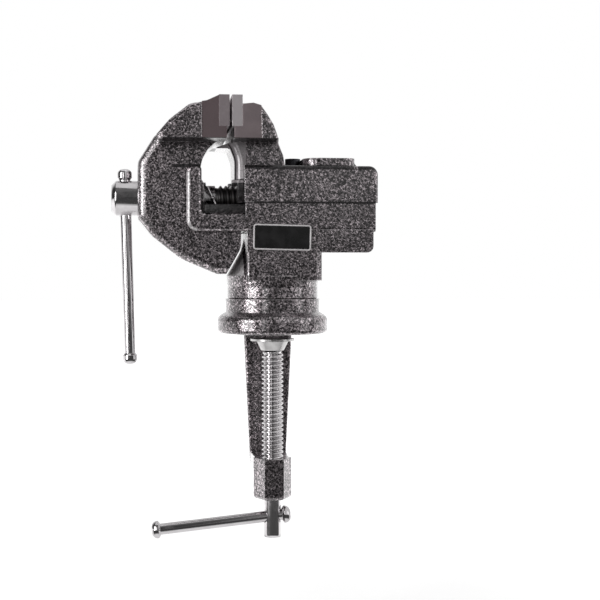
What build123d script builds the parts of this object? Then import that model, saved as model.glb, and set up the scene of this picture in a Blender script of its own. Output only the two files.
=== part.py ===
from build123d import *
import math
import os

# Bench vise with an anvil land, clamped to a table edge from below. Sizes are in millimetres.
# The origin lies on the swivel axis in the plane of the bench seat, the underside of the flange.
# X runs from the spindle's head (minus) to the anvil (plus), and Z is up.
# The clamp's arm stands on the +Y side, so -Y is the side that shows the whole vise.

# Fits and cuts
slide_clearance = 0.3
swivel_fit = 0.08
swivel_gap = 0.05
bolt_fit = 0.05
shaft_fit = 0.1
handle_fit = 0.35
plate_fit = 0.1
overrun = 2.0
edge_tolerance = 0.01

# Base casting, turned part
flange_radius = 25.0
flange_shoulder_z = 7.4
flange_shoulder_round = 3.2
flange_foot_round = 1.8
flange_height = 9.7
base_ring_radius = 21.3
base_height = 15.6
pocket_radius = 9.5
pocket_depth = 7.6
socket_depth = 4.0

# Base casting, arm and foot
arm_front_y = 20.0
arm_thickness = 6.0
arm_top_half_width = 11.4
arm_foot_half_width = 8.4
arm_edge_round = 1.2
ear_height = 8.0
rib_half_width = 4.0
rib_depth = 10.0
rib_foot_depth = 5.0
foot_top_depth = 57.0
foot_thickness = 6.0
boss_across_flats = 15.0
boss_height = 18.4
boss_proud = 0.4
boss_chamfer = 1.0

# Swivel hub of the fixed body
hub_radius = 20.9
hub_waist = 0.5
hub_foot_inset = 0.5
hub_height = 10.25
spigot_radius = 8.0
spigot_length = 3.9

# Fixed body
column_front_x = -13.1
column_back_x = 20.2
column_height = 10.3
column_trim_radius = 26.0
column_edge_round = 1.2
flare_height = 17.0
floor_thickness = 9.2
tunnel_height = 22.8
roof_thickness = 6.3
cheek_front_x = -39.6
cheek_upright = 6.6
cheek_foot_round = 5.0
cheek_top_round = 3.0
cheek_edge_round = 1.75
window_sill = 8.2
window_round = 2.2
box_front_x = -14.3
box_back_x = 45.0
box_top_round = 4.0
box_foot_round = 3.0
box_edge_round = 1.5
tier_step = 1.0
tier_rise = 12.9
side_half_width = 19.0

# Rear jaw and its neck, part of the fixed body
neck_height = 10.5
neck_half_width = 15.0
neck_back_run = 18.8
neck_edge_round = 4.2
head_half_width = 30.3
head_edge_round = 1.6
rear_head_run = 15.7
rear_head_height = 15.3
lip_height = 5.2
rear_lip_recess = 1.0
rear_milled_run = 12.8

# Anvil land
anvil_start_x = 12.3
anvil_length = 23.0
anvil_half_width = 18.5
anvil_height = 3.5
anvil_front_round = 7.0
anvil_back_round = 5.0
anvil_foot_round = 2.4

# Movable jaw
web_half_width = 15.0
web_edge_round = 4.0
bar_height = 7.7
bar_wall = 4.5
bar_floor = 3.5
bar_engagement = 7.1
nose_x = -60.9
jaw_closing_travel = 1.0
jaw_opening_travel = 44.0
skirt_clearance = 0.7
skirt_back_gap = 1.4
front_head_run = 27.8
front_head_height = 18.5
front_head_round = 2.4
front_lip_recess = 1.2
front_milled_run = 7.4
throat_depth = 31.8
spot_face_radius = 10.3
spot_face_depth = 1.6

# Jaw plates and their screws
plate_half_width = 30.0
plate_height = 13.5
plate_thickness = 4.5
rear_grip_x = -20.5
rest_gap = 1.1
screw_spacing = 36.0
screw_drop = 6.7
screw_shank_radius = 2.0
screw_length = 11.0
screw_head_radius = 4.0
screw_head_depth = 2.2
screw_head_sunk = 0.15

# Main spindle
spindle_rise = 15.2
spindle_radius = 6.0
spindle_engagement = 11.0
spindle_end_chamfer = 1.0
spindle_head_radius = 7.95
spindle_head_length = 12.2
spindle_head_chamfer = 2.0
thrust_washer_radius = 9.9
thrust_washer_thickness = 1.0
retaining_washer_radius = 7.5
retaining_washer_thickness = 1.0
split_pin_gap = 1.9
split_pin_radius = 1.0
split_pin_eye_radius = 1.3
split_pin_wire_radius = 0.6
split_pin_leg_length = 5.8
split_pin_leg_tilt = 25.0

# Spindle nut and its lock screw
nut_length = 26.0
nut_half_width = 9.0
nut_gap = 0.5
nut_front_inset = 1.1
nut_key_height = 2.5
lock_screw_x = 9.2
lock_screw_head_radius = 3.5
lock_screw_head_height = 4.4
lock_screw_shank_radius = 2.0
lock_screw_socket_radius = 1.75
lock_screw_socket_depth = 2.2

# Spindle handle
spindle_handle_radius = 2.45
spindle_handle_lean = 1.75
spindle_handle_below = 69.3
spindle_handle_cap_radius = 3.2
spindle_handle_cap_length = 5.0
spindle_cap_gap = 0.2
cap_grip = 2.5

# Swivel bolt and its washers
bolt_radius = 3.0
bolt_head_across_flats = 10.0
bolt_head_height = 4.0
bolt_thread_length = 16.0
spring_washer_radius = 5.0
spring_washer_thickness = 1.5
flat_washer_radius = 6.0
flat_washer_thickness = 1.6

# Clamp screw, pad and handle
clamp_screw_radius = 4.9
clamp_thread_fit = 0.1
clamp_shank_radius = 3.8
clamp_shank_length = 17.4
clamp_handle_drop = 8.1
pad_radius = 10.0
pad_rest_gap = 2.6
pad_disc_thickness = 1.0
pad_cone_height = 4.3
pad_cone_top_radius = 7.3
pad_cone_foot_radius = 5.2
pad_spigot_radius = 2.5
pad_ring_rise = 2.0
pad_ring_thickness = 0.8
pad_ring_grip = 0.4
pad_ring_radius = 3.3
clamp_handle_radius = 2.55
clamp_handle_slope = 5.7
clamp_handle_reach = 51.0
clamp_handle_cap_radius = 4.0
clamp_handle_cap_length = 4.0
clamp_cap_gap = 0.5

# Outlines, as shares of the sizes that each one follows, chosen by hand

# Front head, from the plate's back: shares of front_head_run back and of front_head_height up
front_head_shares = [(0.0, 1.0), (0.187, 0.87), (0.45, 0.805), (0.76, 0.443), (0.96, 0.09), (0.86, 0.0)]
front_head_round_shares = [0.0, 0.3, 0.3, 0.8, 0.0, 0.0]
# Neck, nose and skirt of the movable jaw, from the plate's back at the skirt's foot:
# shares of the nose's reach and of the height from the skirt's foot to the head's underside
web_outer_shares = [
    (0.572, 1.12), (0.79, 1.045), (1.0, 0.846), (1.0, 0.426), (0.816, 0.284), (0.457, 0.116)]
web_outer_round_shares = [0.0, 0.14, 0.2, 0.17, 0.5, 0.7]
# Flare in front of the column: shares of its reach to the hub's rim and of flare_height
flare_shares = [(1.0, 0.0), (0.192, 0.653), (0.0, 1.0)]
flare_round_shares = [0.0, 0.4, 0.0]
# Back of the skirt, from the toe up along the flare: shares of the flare's reach and of its height
skirt_back_shares = [(0.83, 0.0), (0.064, 0.63), (0.0, 0.76)]
skirt_back_round_shares = [0.0, 0.3, 0.3]
# Throat side of the neck, shares of the throat's depth from its deepest face and of its height
throat_shares = [
    (0.0, 0.0), (0.0, 0.42), (-0.055, 0.5), (-0.055, 0.62), (-0.02, 0.77), (0.045, 0.882),
    (0.123, 0.965), (0.274, 1.07)]
throat_round_shares = [0.0, 0.1, 0.1, 0.12, 0.3, 0.1, 0.0, 0.0]
# Rear head, from the plate's back: shares of rear_head_run back and of rear_head_height up
rear_head_shares = [
    (0.0, 0.97), (0.3, 1.0), (0.516, 0.935), (0.694, 0.686), (0.859, 0.407), (0.933, 0.196), (0.997, 0.0)]
# Rear neck, shares of neck_back_run back from the box's front and of neck_height up
neck_front_shares = [
    (-0.213, -0.59), (-0.213, 0.238), (-0.314, 0.714), (-0.388, 0.924), (-0.319, 1.0), (-0.25, 1.2)]
neck_front_round_shares = [0.0, 0.9, 0.5, 0.0, 0.0, 0.0]
neck_back_shares = [(0.82, 1.2), (0.82, 0.92), (0.93, 0.45), (1.0, -0.3)]
# Tongue of the rear neck that covers the gap below the jaws, shares of the same two sizes
tongue_shares = [
    (-0.154, 0.714), (-0.314, 0.714), (-0.372, 0.762), (-0.633, 0.762), (-0.622, 0.81), (-0.319, 1.0),
    (-0.154, 1.0)]
# End cap of a handle: shares of its radius and of its length
cap_face_share = 0.75
cap_rim_share = 0.2
cap_dome_share = 0.7

# Heights worked out from the sizes above
hub_foot_z = base_height + swivel_gap
hub_top_z = hub_foot_z + hub_height
box_bottom_z = hub_top_z + column_height
tunnel_floor_z = box_bottom_z + floor_thickness
tunnel_top_z = tunnel_floor_z + tunnel_height
body_top_z = tunnel_top_z + roof_thickness
jaw_underside_z = body_top_z + neck_height
lip_top_z = jaw_underside_z + lip_height
jaw_top_z = lip_top_z + plate_height
tier_z = tunnel_floor_z + tier_rise
spindle_z = tunnel_floor_z + spindle_rise
bar_bottom_z = tunnel_floor_z + slide_clearance
bar_top_z = bar_bottom_z + bar_height
groove_floor_z = bar_bottom_z + bar_floor
window_sill_z = tunnel_floor_z + window_sill
skirt_foot_z = hub_top_z + skirt_clearance
screw_z = jaw_top_z - screw_drop
foot_top_z = -foot_top_depth
foot_bottom_z = foot_top_z - foot_thickness
boss_top_z = foot_top_z + boss_proud
boss_bottom_z = boss_top_z - boss_height
pad_top_z = -pad_rest_gap
pad_foot_z = pad_top_z - pad_disc_thickness - pad_cone_height
shank_top_z = boss_bottom_z
shank_bottom_z = shank_top_z - clamp_shank_length
clamp_handle_z = shank_top_z - clamp_handle_drop

# Places along X and Y worked out from the sizes above
tunnel_half_width = web_half_width + slide_clearance
front_grip_x = rear_grip_x - rest_gap
front_plate_back_x = front_grip_x - plate_thickness
rear_plate_back_x = rear_grip_x + plate_thickness
flare_reach = hub_radius + column_front_x
skirt_back_x = column_front_x - jaw_closing_travel - skirt_back_gap
throat_face_x = -throat_depth
spot_face_x = nose_x + spot_face_depth
spindle_shoulder_x = spot_face_x - thrust_washer_thickness
spindle_head_x = spindle_shoulder_x - spindle_head_length / 2
retaining_washer_x = throat_face_x + slide_clearance
split_pin_x = retaining_washer_x + retaining_washer_thickness + split_pin_gap + split_pin_radius
nut_front_x = column_front_x + nut_front_inset
bar_end_x = column_front_x + jaw_opening_travel + bar_engagement
spindle_end_x = nut_front_x + jaw_opening_travel + spindle_engagement
washer_seat_z = pocket_depth - swivel_gap
arm_back_y = arm_front_y + arm_thickness


def block(low_x, high_x, half_width, low_z, high_z):
    """Box that is centred on Y = 0."""
    size = Box(high_x - low_x, 2 * half_width, high_z - low_z)
    return Pos((low_x + high_x) / 2, 0, (low_z + high_z) / 2) * size


def side_plate(points, half_width, radii=None):
    """Plate whose outline lies in the side view (X, Z), centred on Y = 0."""
    if radii:
        outline = FilletPolyline(*points, radius=radii, close=True)
    else:
        outline = Polyline(*points, close=True)
    return extrude(Plane.XZ * make_face(outline), amount=half_width, both=True)


def turned(points, radii=None):
    """Solid turned about Z from an outline of (radius, height) points."""
    if radii:
        outline = FilletPolyline(*points, radius=radii, close=True)
    else:
        outline = Polyline(*points, close=True)
    return revolve(Plane.XZ * make_face(outline), Axis.Z)


def placed(shares, start_x, start_z, run, rise):
    """Points of an outline from shares of a run along X and a rise along Z."""
    return [(start_x + run * along, start_z + rise * up) for along, up in shares]


def scaled(shares, size):
    """Radii of an outline's corners from shares of one size."""
    return [share * size for share in shares]


def side_edges(solid, half_width, wanted):
    """Edges in the two side faces whose centre passes the test."""
    return [edge for edge in solid.edges()
            if abs(abs(edge.center().Y) - half_width) < edge_tolerance and wanted(edge.center())]


def rod(start, end, radius):
    """Round bar between two points."""
    start, end = Vector(*start), Vector(*end)
    along = end - start
    plane = Plane(origin=start, z_dir=along.normalized())
    return extrude(plane * Circle(radius), amount=along.length)


def clamp_frame():
    """Base casting: turned flange, ear, T-shaped arm, foot and hexagonal boss."""
    base = turned(
        [(bolt_radius + swivel_fit, pocket_depth), (pocket_radius, pocket_depth), (pocket_radius, 0),
         (flange_radius, 0), (flange_radius, flange_shoulder_z), (base_ring_radius, flange_height),
         (base_ring_radius, base_height), (spigot_radius + swivel_fit, base_height),
         (spigot_radius + swivel_fit, base_height - socket_depth),
         (bolt_radius + swivel_fit, base_height - socket_depth)],
        [0, 0, 0, flange_foot_round, flange_shoulder_round, 0, 0, 0, 0, 0])
    strip_outline = Polyline(
        (-arm_top_half_width, ear_height), (arm_top_half_width, ear_height), (arm_top_half_width, 0),
        (arm_foot_half_width, foot_bottom_z), (-arm_foot_half_width, foot_bottom_z),
        (-arm_top_half_width, 0), close=True)
    strip = extrude(Plane.XZ.offset(-arm_back_y) * make_face(strip_outline), amount=arm_thickness)
    front_edges = [edge for edge in strip.edges()
                   if abs(edge.center().Y - arm_front_y) < edge_tolerance and edge.center().Z < 0
                   and abs(edge.center().X) > arm_edge_round]
    strip = fillet(front_edges, arm_edge_round)
    rib_outline = Polyline(
        (arm_front_y, ear_height), (arm_back_y + rib_foot_depth, ear_height),
        (arm_back_y + rib_depth, ear_height - rib_foot_depth), (arm_back_y + rib_depth, -ear_height),
        (arm_back_y + rib_foot_depth, foot_bottom_z), (arm_front_y, foot_bottom_z), close=True)
    rib = extrude(Plane.YZ * make_face(rib_outline), amount=rib_half_width, both=True)
    ear_start_y = (pocket_radius + flange_radius) / 2
    ear = Pos(0, (ear_start_y + arm_back_y) / 2, ear_height / 2) * Box(
        2 * arm_top_half_width, arm_back_y - ear_start_y, ear_height)
    foot_outline = Polyline(
        (-boss_across_flats / 2, 0), (boss_across_flats / 2, 0), (arm_foot_half_width, arm_front_y),
        (arm_foot_half_width, arm_back_y), (-arm_foot_half_width, arm_back_y),
        (-arm_foot_half_width, arm_front_y), close=True)
    foot = extrude(Plane.XY.offset(foot_bottom_z) * make_face(foot_outline), amount=foot_thickness)
    boss_plan = RegularPolygon(boss_across_flats / 2, 6, major_radius=False)
    boss = extrude(Plane.XY.offset(boss_bottom_z) * boss_plan, amount=boss_height)
    boss = chamfer(boss.faces().sort_by(Axis.Z)[0].edges(), boss_chamfer)
    thread_hole = Pos(0, 0, (boss_top_z + boss_bottom_z) / 2) * Cylinder(
        clamp_screw_radius + clamp_thread_fit, boss_height + 2 * overrun)
    return base + ear + strip + rib + foot + boss - thread_hole


def hub():
    """Swivel hub of the fixed body: waisted ring with a spigot below."""
    waist_z = hub_foot_z + hub_height / 2
    return turned([
        (0, hub_foot_z - spigot_length), (spigot_radius, hub_foot_z - spigot_length),
        (spigot_radius, hub_foot_z), (hub_radius - 2 * hub_foot_inset, hub_foot_z),
        (hub_radius - hub_foot_inset, hub_foot_z + hub_foot_inset),
        (hub_radius - hub_waist, waist_z), (hub_radius, hub_top_z), (0, hub_top_z)])


def column():
    """Column between hub and box, with the half cone in front that flares to the hub's rim."""
    trunk = block(column_front_x, column_back_x, side_half_width, hub_top_z - overrun, tunnel_floor_z)
    upright = [edge for edge in trunk.edges() if abs(edge.tangent_at(0).Z) > 0.5]
    trunk = fillet(upright, column_edge_round)
    trim = Pos(0, 0, hub_top_z) * Cylinder(column_trim_radius, 2 * column_height)
    box_zone = block(column_front_x, box_back_x, side_half_width, box_bottom_z, tunnel_floor_z)
    cone = turned(
        placed(flare_shares, -column_front_x, hub_top_z, flare_reach, flare_height)
        + [(0, hub_top_z + flare_height), (0, hub_top_z)],
        scaled(flare_round_shares, flare_height) + [0, 0])
    front = block(-hub_radius - overrun, column_front_x + column_edge_round, hub_radius,
                  hub_top_z, hub_top_z + flare_height)
    return (trunk & (trim + box_zone)) + (cone & front)


def guide_box():
    """Box with three stepped tiers, the two forward cheeks and the tunnel of the slide bar."""
    lower_back_x = box_back_x - 2 * tier_step
    lower = side_plate(
        [(column_front_x, box_bottom_z), (lower_back_x, box_bottom_z),
         (lower_back_x, tunnel_floor_z + tier_step), (column_front_x, tunnel_floor_z + tier_step)],
        side_half_width, [0, box_foot_round, 0, 0])
    middle_back_x = box_back_x - tier_step
    window_back_x = box_front_x + tier_step / 2
    window_front_x = cheek_front_x + cheek_upright
    middle = side_plate(
        [(cheek_front_x, tunnel_floor_z), (middle_back_x, tunnel_floor_z), (middle_back_x, tier_z),
         (window_back_x, tier_z), (window_back_x, window_sill_z), (window_front_x, window_sill_z),
         (window_front_x, body_top_z), (cheek_front_x, body_top_z)],
        side_half_width,
        [cheek_foot_round, 0, 0, 0, 0, window_round, window_round, cheek_top_round])
    upper_side = side_plate(
        [(box_front_x, tier_z), (box_back_x, tier_z), (box_back_x, body_top_z), (box_front_x, body_top_z)],
        side_half_width + tier_step, [0, 0, box_top_round, 0])
    top_edges = side_edges(upper_side, side_half_width + tier_step, lambda place: place.Z > tier_z)
    back_edges = [edge for edge in top_edges if edge.center().X > box_front_x + edge_tolerance]
    upper = fillet(back_edges, box_edge_round)
    cheek_gap = block(cheek_front_x - overrun, box_front_x, tunnel_half_width,
                      tunnel_floor_z - overrun, body_top_z + overrun)
    mouth = block(box_front_x - overrun, column_front_x, tunnel_half_width,
                  tunnel_floor_z - overrun, tunnel_top_z)
    tunnel = block(column_front_x - overrun, box_back_x + overrun, tunnel_half_width,
                   tunnel_floor_z, tunnel_top_z)
    outer_front = side_edges(
        middle, side_half_width,
        lambda place: place.X < window_front_x - cheek_upright / 2 and place.Z < body_top_z)
    middle = fillet(outer_front, cheek_edge_round)
    return lower + (middle + upper - cheek_gap - mouth) + column() - tunnel


def rear_jaw():
    """Rear head with its lip and milled side patches, the neck and its tongue."""
    outline = placed(rear_head_shares, rear_plate_back_x, jaw_underside_z, rear_head_run, rear_head_height)
    milled_back_x = rear_plate_back_x + rear_milled_run - plate_thickness
    lip_x = rear_grip_x + rear_lip_recess
    milled = side_plate(
        [(lip_x, jaw_underside_z), (lip_x, lip_top_z), (rear_plate_back_x, lip_top_z)]
        + outline[:3] + [(milled_back_x, jaw_underside_z)], plate_half_width)
    cast = side_plate([(milled_back_x, jaw_underside_z)] + outline[2:], head_half_width)
    cast_edges = side_edges(cast, head_half_width, lambda place: place.X > milled_back_x + edge_tolerance
                            and place.Z > jaw_underside_z + edge_tolerance)
    cast = fillet(cast_edges, head_edge_round)
    front = placed(neck_front_shares, box_front_x, body_top_z, neck_back_run, neck_height)
    back = placed(neck_back_shares, box_front_x, body_top_z, neck_back_run, neck_height)
    radii = scaled(neck_front_round_shares, neck_height)
    neck = side_plate(front + back, neck_half_width, radii + [0, 0, 0, 0])
    arch_top_z = front[3][1] - edge_tolerance
    front_edges = side_edges(neck, neck_half_width, lambda place: place.X < box_front_x + edge_tolerance
                             and place.Z < arch_top_z)
    neck = fillet(front_edges, neck_edge_round)
    tongue = side_plate(placed(tongue_shares, box_front_x, body_top_z, neck_back_run, neck_height),
                        neck_half_width - neck_edge_round)
    return milled + cast + neck + tongue


def anvil_land():
    """Raised land with a flat top: the small anvil."""
    end_x = anvil_start_x + anvil_length
    plan = FilletPolyline(
        (anvil_start_x, -anvil_half_width), (end_x, -anvil_half_width),
        (end_x, anvil_half_width), (anvil_start_x, anvil_half_width),
        radius=[anvil_front_round, anvil_back_round, anvil_back_round, anvil_front_round], close=True)
    low_z = body_top_z - roof_thickness / 2
    land = extrude(Plane.XY.offset(low_z) * make_face(plan), amount=anvil_height + roof_thickness / 2)
    ramp = side_plate(
        [(end_x - anvil_foot_round, body_top_z - overrun), (end_x + anvil_foot_round, body_top_z - overrun),
         (end_x + anvil_foot_round, body_top_z), (end_x, body_top_z + anvil_foot_round),
         (end_x - anvil_foot_round, body_top_z + anvil_foot_round)],
        anvil_half_width - anvil_back_round)
    hollow = Pos(end_x + anvil_foot_round, 0, body_top_z + anvil_foot_round) * Rot(90, 0, 0) * Cylinder(
        anvil_foot_round, 2 * side_half_width)
    return land + (ramp - hollow)


def plate_screw_places(grip_x):
    """Centres of the two screws of a jaw plate, on its gripping face."""
    return [(grip_x, side * screw_spacing / 2, screw_z) for side in (-1, 1)]


def plate_screw_holes(back_x, direction):
    """Threaded holes of one jaw plate's screws, in the casting behind it."""
    depth = screw_length - plate_thickness + overrun
    holes = [rod((back_x - direction * overrun, y, z), (back_x + direction * depth, y, z),
                 screw_shank_radius + bolt_fit) for _, y, z in plate_screw_places(back_x)]
    return holes[0] + holes[1]


def fixed_body():
    """Swivelling casting: hub, column, guide box with cheeks, rear jaw and anvil land."""
    body = hub() + guide_box() + rear_jaw() + anvil_land()
    bolt_hole = rod((0, 0, 0), (0, 0, base_height + bolt_thread_length + overrun), bolt_radius + bolt_fit)
    screw_notch = rod((lock_screw_x, 0, body_top_z), (lock_screw_x, 0, body_top_z + anvil_height + overrun),
                      lock_screw_head_radius + slide_clearance)
    screw_hole = rod((lock_screw_x, 0, tunnel_top_z - overrun), (lock_screw_x, 0, body_top_z + overrun),
                     lock_screw_shank_radius + bolt_fit)
    return (body - bolt_hole - screw_notch - screw_hole - nut_block(plate_fit)
            - plate_screw_holes(rear_plate_back_x, 1))


def movable_jaw():
    """Front jaw casting: head, neck, nose, skirt and the slide bar."""
    outline = placed(front_head_shares, front_plate_back_x, jaw_underside_z,
                     -front_head_run, front_head_height)
    radii = scaled(front_head_round_shares, front_head_height)
    lip_x = front_grip_x - front_lip_recess
    milled_x = front_plate_back_x - front_milled_run
    milled_top_z = outline[1][1] + (outline[2][1] - outline[1][1]) * (
        (milled_x - outline[1][0]) / (outline[2][0] - outline[1][0]))
    milled = side_plate(
        [(lip_x, jaw_underside_z), (lip_x, lip_top_z), (front_plate_back_x, lip_top_z)]
        + outline[:2] + [(milled_x, milled_top_z), (milled_x, jaw_underside_z)], plate_half_width)
    cast = side_plate([(milled_x, jaw_underside_z), (milled_x, milled_top_z)] + outline[2:],
                      head_half_width, [0, 0] + radii[2:])
    cast_edges = side_edges(cast, head_half_width, lambda place: place.X < milled_x - edge_tolerance
                            and place.Z > jaw_underside_z + edge_tolerance)
    cast = fillet(cast_edges, front_head_round)

    reach = front_plate_back_x - nose_x
    height = jaw_underside_z - skirt_foot_z
    outer = placed(web_outer_shares, front_plate_back_x, skirt_foot_z, -reach, height)
    skirt_back = placed(skirt_back_shares, skirt_back_x, skirt_foot_z, -flare_reach, flare_height)
    toe_x = skirt_back[0][0]
    throat_height = jaw_underside_z - bar_top_z
    throat = placed(throat_shares, throat_face_x, bar_top_z, throat_depth, throat_height)
    ridge_x, ridge_z = outer[0]
    points = (outer + [(front_plate_back_x, skirt_foot_z)] + skirt_back
              + [(skirt_back_x, bar_bottom_z), (bar_end_x, bar_bottom_z), (bar_end_x, bar_top_z)]
              + throat + [(lip_x, lip_top_z - lip_height / 2), (ridge_x, lip_top_z - lip_height / 2)])
    radii = (scaled(web_outer_round_shares, height / 2) + [web_edge_round]
             + scaled(skirt_back_round_shares, flare_height)
             + [0, 0, 0] + scaled(throat_round_shares, throat_height) + [0, 0])
    web = side_plate(points, web_half_width, radii)
    outer_edges = side_edges(
        web, web_half_width,
        lambda place: place.X < ridge_x - edge_tolerance
        or (place.Z < bar_bottom_z - edge_tolerance and place.X < toe_x))
    web = fillet(outer_edges, web_edge_round)

    spindle_hole = rod((nose_x - overrun, 0, spindle_z), (throat_face_x + overrun, 0, spindle_z),
                       spindle_radius + slide_clearance)
    spot_face = rod((nose_x - overrun, 0, spindle_z), (spot_face_x, 0, spindle_z), spot_face_radius)
    groove = block(throat_face_x, bar_end_x + overrun, web_half_width - bar_wall,
                   groove_floor_z, bar_top_z + overrun)
    return (milled + cast + web - groove - spindle_hole - spot_face
            - plate_screw_holes(front_plate_back_x, -1))


def countersunk_screw(grip_x, direction, grow=0.0):
    """Countersunk screw along X, its head just below a plate's gripping face."""
    head = screw_head_radius + grow
    shank = screw_shank_radius + grow
    profile = turned([
        (0, screw_head_sunk), (head, screw_head_sunk), (shank, screw_head_sunk + screw_head_depth),
        (shank, screw_length), (0, screw_length)])
    return Pos(grip_x, 0, screw_z) * Rot(0, 90 * direction, 0) * profile


def plate_screws(grip_x, direction):
    """The two screws of a jaw plate."""
    screw = countersunk_screw(grip_x, direction)
    return Compound(children=[Pos(0, y, 0) * screw for _, y, _ in plate_screw_places(grip_x)])


def jaw_plate(grip_x, direction):
    """Steel jaw plate with two countersunk holes."""
    back_x = grip_x + direction * plate_thickness
    plate = block(min(grip_x, back_x), max(grip_x, back_x), plate_half_width, lip_top_z, jaw_top_z)
    sink = countersunk_screw(grip_x, direction, plate_fit)
    mouth = rod((grip_x - direction * overrun, 0, screw_z),
                (grip_x + direction * screw_head_sunk, 0, screw_z), screw_head_radius + plate_fit)
    for _, y, _ in plate_screw_places(grip_x):
        plate -= Pos(0, y, 0) * (sink + mouth)
    return plate


def spindle_handle_point(along):
    """Point on the leaning handle's axis, a distance below the spindle's axis."""
    lean = math.radians(spindle_handle_lean)
    return (spindle_head_x + along * math.sin(lean), 0, spindle_z - along * math.cos(lean))


def main_spindle():
    """Screw of the vise with its drilled head; the thread lies outside this core."""
    head_end_x = spindle_shoulder_x - spindle_head_length
    profile = turned([
        (0, 0), (spindle_head_radius - spindle_head_chamfer, 0), (spindle_head_radius, spindle_head_chamfer),
        (spindle_head_radius, spindle_head_length), (spindle_radius, spindle_head_length),
        (spindle_radius, spindle_end_x - head_end_x - spindle_end_chamfer),
        (spindle_radius - spindle_end_chamfer, spindle_end_x - head_end_x),
        (0, spindle_end_x - head_end_x)])
    spindle = Pos(head_end_x, 0, spindle_z) * Rot(0, 90, 0) * profile
    reach = spindle_head_radius + overrun
    handle_hole = rod(spindle_handle_point(-reach), spindle_handle_point(reach),
                      spindle_handle_radius + handle_fit)
    pin_hole = rod((split_pin_x, -reach, spindle_z), (split_pin_x, reach, spindle_z),
                   split_pin_radius + bolt_fit)
    return spindle - handle_hole - pin_hole


def washer(start_x, thickness, outer_radius, inner_radius):
    """Plain washer on the spindle."""
    disc = rod((start_x, 0, spindle_z), (start_x + thickness, 0, spindle_z), outer_radius)
    hole = rod((start_x - overrun, 0, spindle_z), (start_x + thickness + overrun, 0, spindle_z), inner_radius)
    return disc - hole


def split_pin():
    """Split pin through the spindle: eye on the far side, two legs bent apart on the near side."""
    eye_y = spindle_radius + split_pin_wire_radius + split_pin_eye_radius
    bend_y = -(spindle_radius + 2 * split_pin_wire_radius)
    shank = rod((split_pin_x, bend_y, spindle_z), (split_pin_x, spindle_radius, spindle_z), split_pin_radius)
    eye = Pos(split_pin_x, eye_y, spindle_z) * Torus(split_pin_eye_radius, split_pin_wire_radius)
    knuckle = Pos(split_pin_x, bend_y, spindle_z) * Sphere(split_pin_radius)
    tilt = math.radians(split_pin_leg_tilt)
    step_x, step_z = split_pin_leg_length * math.sin(tilt), split_pin_leg_length * math.cos(tilt)
    legs = [rod((split_pin_x, bend_y, spindle_z),
                (split_pin_x + side * step_x, bend_y, spindle_z - side * step_z), split_pin_wire_radius)
            for side in (-1, 1)]
    return shank + eye + knuckle + legs[0] + legs[1]


def nut_block(grow=0.0):
    """Outer shape of the nut, or of its key pocket in the roof when grown by a fit."""
    return block(nut_front_x - grow, nut_front_x + nut_length + grow, nut_half_width + grow,
                 groove_floor_z + nut_gap, tunnel_top_z + nut_key_height)


def spindle_nut():
    """Long nut block keyed into the box's roof, tapped for the spindle and the lock screw."""
    hole = rod((nut_front_x - overrun, 0, spindle_z), (nut_front_x + nut_length + overrun, 0, spindle_z),
               spindle_radius + shaft_fit)
    screw_hole = rod((lock_screw_x, 0, spindle_z), (lock_screw_x, 0, body_top_z),
                     lock_screw_shank_radius + bolt_fit)
    return nut_block() - hole - screw_hole


def nut_lock_screw():
    """Socket screw that goes down through the roof into the nut."""
    shank_end_z = spindle_z + spindle_radius + shaft_fit + slide_clearance
    head_top_z = body_top_z + lock_screw_head_height
    shank = rod((lock_screw_x, 0, shank_end_z), (lock_screw_x, 0, body_top_z), lock_screw_shank_radius)
    head = rod((lock_screw_x, 0, body_top_z), (lock_screw_x, 0, head_top_z), lock_screw_head_radius)
    socket = rod((lock_screw_x, 0, head_top_z - lock_screw_socket_depth),
                 (lock_screw_x, 0, head_top_z + overrun), lock_screw_socket_radius)
    return shank + head - socket


def cap(seat, outward, radius, length, bar_radius):
    """Domed end cap of a handle, its inner face at the seat, with a blind hole for the bar."""
    dome_round = cap_dome_share * min(radius, length)
    dome = turned([(0, 0), (cap_face_share * radius, 0), (radius, cap_rim_share * length),
                   (radius, length), (0, length)], [0, 0, 0, dome_round, 0])
    hole = Pos(0, 0, cap_grip / 2) * Cylinder(bar_radius, cap_grip)
    return Plane(origin=seat, z_dir=outward) * (dome - hole)


def handle(point_at, first_seat, last_seat, radius, cap_radius, cap_length):
    """Handle bar with its two caps, between two seats measured along its axis."""
    first, last = Vector(*point_at(first_seat)), Vector(*point_at(last_seat))
    outward = (last - first).normalized()
    bar = rod(point_at(first_seat - cap_grip), point_at(last_seat + cap_grip), radius)
    first_cap = cap(first, -outward, cap_radius, cap_length, radius)
    last_cap = cap(last, outward, cap_radius, cap_length, radius)
    return bar, first_cap, last_cap


def spindle_handle():
    """Leaning bar of the spindle with its caps: the upper one rests on the spindle's head."""
    return handle(spindle_handle_point, -(spindle_head_radius + spindle_cap_gap), spindle_handle_below,
                  spindle_handle_radius, spindle_handle_cap_radius, spindle_handle_cap_length)


def clamp_handle_point(along):
    """Point on the sloping handle's axis, a distance from the clamp screw's axis towards -X."""
    slope = math.radians(clamp_handle_slope)
    return (-along * math.cos(slope), 0, clamp_handle_z - along * math.sin(slope))


def clamp_handle():
    """Sloping bar of the clamp screw with its caps: the right one rests near the shank."""
    return handle(clamp_handle_point, -(clamp_shank_radius + clamp_cap_gap), clamp_handle_reach,
                  clamp_handle_radius, clamp_handle_cap_radius, clamp_handle_cap_length)


def swivel_pivot_bolt():
    """Bolt from below that holds the fixed body down on the base."""
    head_z = washer_seat_z - flat_washer_thickness - spring_washer_thickness
    hexagon = RegularPolygon(bolt_head_across_flats / 2, 6, major_radius=False)
    head = extrude(Plane.XY.offset(head_z - bolt_head_height) * hexagon, amount=bolt_head_height)
    return head + rod((0, 0, head_z), (0, 0, base_height + bolt_thread_length), bolt_radius)


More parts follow.
